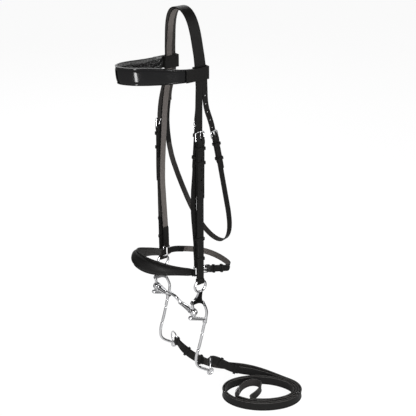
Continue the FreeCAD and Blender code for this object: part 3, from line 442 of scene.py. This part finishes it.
def band_profile(heights, thicks, flange, groove, bead=0.0):
    """A flat strap with a raised middle on its outer side and a soft inner side."""

    def profile(s):
        half, thick = share_of(heights, s) / 2.0, share_of(thicks, s)
        deep = thick / 2.0
        base = min(deep, -deep + BAND_STRAP)
        core = half - flange
        corners = [(half, -deep + 0.7), (half, base - 0.6), (half - 0.6, base)]
        if bead:
            corners = [(half, -deep + 0.7), (half, base + bead * 0.6), (half - bead * 0.5, base + bead),
                       (half - bead * 1.3, base + bead * 0.7), (half - bead * 1.6, base)]
        corners.append((core + 0.3, base - groove))
        for k in range(0, 13):
            a = 1.0 - k / 6.0
            rise = (deep - base) * (1 - abs(a) ** 2.4) ** 0.6 if abs(a) < 1 else 0.0
            corners.append((core * a, base - (groove if abs(a) == 1 else 0.0) + rise))
        corners.append((-core - 0.3, base - groove))
        if bead:
            corners += [(-half + bead * 1.6, base), (-half + bead * 1.3, base + bead * 0.7),
                        (-half + bead * 0.5, base + bead), (-half, base + bead * 0.6), (-half, -deep + 0.7)]
        else:
            corners += [(-half + 0.6, base), (-half, base - 0.6), (-half, -deep + 0.7)]
        corners += [(-half + 0.7, -deep), (-half * 0.5, -deep), (0, -deep), (half * 0.5, -deep),
                    (half - 0.7, -deep)]
        return [(a, b, 1 if k >= len(corners) - 5 and k < len(corners) - 1 else 0)
                for k, (a, b) in enumerate(corners)]

    return profile


NOSE_END_HEIGHTS = [13.5, 17.0, 18.0, 19.5, 22.0, 25.5, 29.0, 31.5, 33.0, 33.8]
NOSE_HEIGHTS = NOSE_END_HEIGHTS + [34.0] + NOSE_END_HEIGHTS[::-1]
NOSE_THICKS = [4.0, 5.0, 8.0, 10.0, 11.0, 11.0, 11.0, 10.0, 8.0, 5.0, 4.0]
NOSE_UP, NOSE_MIDDLE, NOSE_SEAM = (0.28, 0, 1), -40.0, 1.9
BROW_HEIGHTS = [25.0, 28.0, 33.0, 35.0, 35.0, 35.0, 35.0, 35.0, 33.0, 28.0, 25.0]
BROW_THICKS = [3.6, 4.0, 5.0, 5.0, 5.0, 5.0, 5.0, 5.0, 5.0, 4.0, 3.6]
BROW_UP, BROW_MIDDLE, BROW_SEAM = (-0.1, 0, 1), -60.0, 2.3


def band_outside(middle_x):
    """A function for the level direction away from the band's middle."""

    def outside(points):
        points = np.atleast_2d(points)
        away = points - np.array([middle_x, 0.0, 0.0])
        away[:, 2] = 0.0
        return unit(away)

    return outside


def wrap(name, bar, radius, thick, width, towards):
    """The turn of a strap round an upright bar, seen from above, as a piece of the strap."""
    out = np.array([0, 1 if bar[1] > 0 else -1, 0], float)
    ahead = np.array(towards, float)
    middle = radius + 0.1 + thick / 2.0
    tail = 7.0
    line = [np.array(bar) + ahead * tail + out * middle]
    for k in range(13):
        angle = pi / 2 - pi * k / 12
        line.append(np.array(bar) + out * middle * sin(angle) - ahead * middle * cos(angle))
    line.append(np.array(bar) + ahead * tail - out * middle)
    centre = np.array(bar)
    return sweep(name, respaced(line, 0.5), flat_profile(width, thick), (0, 0, 1),
                 lambda p: unit(p - centre), [LEATHER], "headstall")


nose = spline(nose_line(), 2.0)
nose_band = sweep("padded_noseband", nose, band_profile(NOSE_HEIGHTS, NOSE_THICKS, 3.4, 0.5), NOSE_UP,
                  band_outside(NOSE_MIDDLE), [LEATHER, LINING])
bevel = nose_band.modifiers.new("edge", "BEVEL")
bevel.width = 0.4 * MM
bevel.segments = 2
bevel.limit_method = "ANGLE"
bevel.angle_limit = radians(50)
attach(nose_band, "headstall")
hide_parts("noseband_front")
wide, normal = frames(nose, NOSE_UP, band_outside(NOSE_MIDDLE))
inner = slice(6, len(nose) - 6)
for row in (-1, 1):
    stitch_row("headstall", nose[inner], wide[inner], normal[inner],
               [row * (h / 2.0 - NOSE_SEAM) for h in NOSE_HEIGHTS],
               [BAND_STRAP + 0.05 - t / 2.0 for t in NOSE_THICKS])
for tag, sign in (("near", NEAR), ("far", FAR)):
    turn = wrap("noseband_turn_" + tag, (-14.5, sign * 59.0, -552.0), 1.8, 2.0, 13.0, (-1, 0, 0))

half_brow = [(-9.5, 56.1, -118.0), (-30.0, 54.0, -117.6), (-62.0, 43.0, -116.2), (-104.0, 30.5, -112.0),
             (-138.0, 16.5, -108.6), (-149.0, 0.0, -107.6)]
brow = spline([(x, -y, z) for x, y, z in half_brow] + half_brow[-2::-1], 2.0)
brow_band = sweep("patent_browband", brow, band_profile(BROW_HEIGHTS, BROW_THICKS, 3.0, 0.2, 0.8),
                  BROW_UP, band_outside(BROW_MIDDLE), [PATENT, PATENT_INSIDE], "headstall")
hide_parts("browband")
wide, normal = frames(brow, BROW_UP, band_outside(BROW_MIDDLE))
inner = slice(8, len(brow) - 8)
for row in (-1, 1):
    stitch_row("headstall", brow[inner], wide[inner], normal[inner],
               [row * (h / 2.0 - BROW_SEAM) for h in BROW_HEIGHTS],
               [BAND_STRAP - t / 2.0 for t in BROW_THICKS], 3.2, 2.0, 0.5)

# ---------------------------------------------------------------- reins
REIN_WIDTH, REIN_THICK = 19.0, 3.2
LAY = FLOOR_Z + REIN_WIDTH / 2.0
COIL_CENTRE, COIL_TURN, COIL_STEP = np.array([76.4, -186.3]), radians(-36), 22
COIL_ALONG = np.array([cos(COIL_TURN), sin(COIL_TURN)])
COIL_ACROSS = np.array([-sin(COIL_TURN), cos(COIL_TURN)])
COIL_LONG, COIL_SHORT, LAYER = 87.5 - REIN_THICK / 2.0, 57.0 - REIN_THICK / 2.0, 5.3


def on_coil(degree, layer):
    """A point of the oval coil; layer 0 is the outermost."""
    t = radians(degree)
    flat = COIL_CENTRE + COIL_ALONG * (COIL_LONG - LAYER * layer) * cos(t)
    flat = flat + COIL_ACROSS * (COIL_SHORT - LAYER * layer) * sin(t)
    return (float(flat[0]), float(flat[1]), LAY)


def coil_turns(marks):
    """Points COIL_STEP degrees apart or less round the coil, clockwise through (degree, layer) marks."""
    first, last = marks[0][0], marks[-1][0]
    count = int((first - last) / COIL_STEP) + 1
    places = np.linspace(first, last, count + 1)
    layers = np.interp(-places, [-degree for degree, layer in marks], [layer for degree, layer in marks])
    return [on_coil(degree, layer) for degree, layer in zip(places, layers)]


def left_of(line):
    """The level direction to the left of the way along the line."""
    tangent = unit(np.gradient(line, axis=0))
    return np.stack([-tangent[:, 1], tangent[:, 0], np.zeros(len(line))], axis=1)


def rein(name, points, flesh):
    """One rein as a strap on edge, from its sewn end to the centre buckle."""
    line = spline(points, 2.0)
    # material 2, on both edges of the rein, is lighter grey: a painted highlight along the rims
    obj = sweep(name, line, flat_profile(REIN_WIDTH, REIN_THICK, flesh), (0, 0, 1), left_of,
                [LEATHER, DARK_FLESH, EDGE_PAINTED_HIGHLIGHT])
    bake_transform(obj)
    return obj, line


near_points = [(72.0, -74.5, -816.5), (86.0, -89.0, LAY + 0.8), (104.0, -110.0, LAY), (124.0, -146.0, LAY)]
near_points += coil_turns([(44, 1.0), (-205, 1.0), (-316, 3.0), (-448, 3.1)])
near_points += [(44.5, -210.6, LAY), (38.3, -204.2, LAY), (35.8, -198.0, LAY), (38.5, -192.8, LAY),
                (46.0, -190.2, LAY + 0.5), (58.0, -187.6, LAY + 1), (73.0, -182.0, LAY + 2),
                (85.0, -172.5, LAY + 2), (88.0, -158.0, LAY + 2), (78.0, -147.0, LAY + 2),
                (62.0, -145.0, LAY + 2), (47.0, -150.0, LAY + 3), (34.0, -158.6, LAY + 3.3),
                (21.0, -167.0, LAY + 3.3)]
far_points = [(29.0, 12.0, -814.5), (43.0, -12.0, LAY + 0.8), (63.0, -46.0, LAY), (98.0, -82.0, LAY),
              (126.0, -128.0, LAY)]
far_points += coil_turns([(50, 0.0), (-205, 0.0), (-316, 2.0), (-470, 2.2)])
far_points += [(22.5, -192.5, LAY + 1), (16.5, -183.5, LAY + 2), (13.9, -176.5, LAY + 2.8),
               (14.8, -171.0, LAY + 3.3), (20.0, -167.4, LAY + 3.3)]
# each rein starts at its sewn end by its bit cheek and lies on the floor where it meets the coil
near_rein, near_line = rein("near_rein", near_points, 1)
far_rein, far_line = rein("far_rein", far_points, -1)
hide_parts("rein_run_near", "rein_coil")
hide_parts("rein_run_far", "rein_coil")
for obj, line, ends, pieces in (
        (near_rein, near_line, "fitting", [NODES["rein_buckle"], NODES["rein_tongue"]]),
        (far_rein, far_line, "object", [])):
    print(obj.name, "length", round(length_of(line)), "mm")

make_stitches()

# ---------------------------------------------------------------- floor, lights and camera
bpy.ops.mesh.primitive_plane_add(size=30, location=(0, 0, (FLOOR_Z - 0.6) * MM))
floor = bpy.context.object
floor.data.materials.append(FLOOR)

# (share of height, grey): the sky is pale at the horizon and dim above, so that metal shows both
HORIZON, ZENITH = (0.12, 0.93), (0.45, 0.1)
world = bpy.data.worlds.new("studio")
bpy.context.scene.world = world
world.use_nodes = True
sky = world.node_tree
way_up = sky.nodes.new("ShaderNodeTexCoord")
height = sky.nodes.new("ShaderNodeSeparateXYZ")
fade = sky.nodes.new("ShaderNodeValToRGB")
for stop, (share, grey) in zip(fade.color_ramp.elements, (HORIZON, ZENITH)):
    stop.position = share
    stop.color = (grey, grey, grey, 1)
sky.links.new(way_up.outputs["Generated"], height.inputs["Vector"])
sky.links.new(height.outputs["Z"], fade.inputs["Fac"])
sky.links.new(fade.outputs["Color"], sky.nodes["Background"].inputs["Color"])
bpy.context.scene.view_settings.view_transform = "Standard"


def area_light(name, place, aim, size, power, tall=None):
    """A square light, or a taller one, at a place and turned to a point (metres and watts)."""
    lamp = bpy.data.lights.new(name, "AREA")
    lamp.energy = power
    lamp.shape = "RECTANGLE"
    lamp.size = size
    lamp.size_y = tall or size
    obj = bpy.data.objects.new(name, lamp)
    bpy.context.scene.collection.objects.link(obj)
    obj.location = place
    obj.rotation_euler = (Vector(aim) - Vector(place)).to_track_quat("-Z", "Y").to_euler()
    obj.visible_camera = False


area_light("key", (-1.6, -1.4, 1.2), (0, 0, -0.45), 0.9, 30)
area_light("fill", (1.2, -1.6, 0.6), (0, 0, -0.5), 1.2, 14)
area_light("back", (0.6, 1.6, 0.9), (0, 0, -0.4), 1.2, 18)
area_light("strip", (-0.335, -0.98, -0.49), (-0.12, 0, -0.12), 0.13, 10, 0.5)

CARD = principled("dark_card", (0.01, 0.01, 0.01), 0.9, specular=0.0)


def dark_card(name, first, last):
    """A dark card on the floor between two directions (degrees), seen only in reflections."""
    near, far, count = 0.32, 4.0, 12
    vertices = []
    for k in range(count + 1):
        angle = radians(first + (last - first) * k / count)
        vertices += [(radius * cos(angle), radius * sin(angle), (FLOOR_Z - 0.3) * MM)
                     for radius in (near, far)]
    faces = [(2 * k, 2 * k + 1, 2 * k + 3, 2 * k + 2) for k in range(count)]
    mesh = bpy.data.meshes.new(name)
    mesh.from_pydata(vertices, [], faces)
    mesh.materials.append(CARD)
    obj = bpy.data.objects.new(name, mesh)
    bpy.context.scene.collection.objects.link(obj)
    obj.visible_camera = obj.visible_diffuse = obj.visible_shadow = obj.visible_transmission = False


dark_card("card_right", -76, 8)
dark_card("card_left", 96, 152)

CAMERA_PLACE, CAMERA_DOWN, CAMERA_TURN = (-1.0669, -1.5666, 0.4370), 24.51, -35.84
lens = bpy.data.cameras.new("camera")
lens.lens = 84.57
lens.sensor_width = 36.0
camera = bpy.data.objects.new("camera", lens)
bpy.context.scene.collection.objects.link(camera)
camera.location = CAMERA_PLACE
camera.rotation_euler = (radians(90 - CAMERA_DOWN), 0, radians(CAMERA_TURN))
bpy.context.scene.camera = camera

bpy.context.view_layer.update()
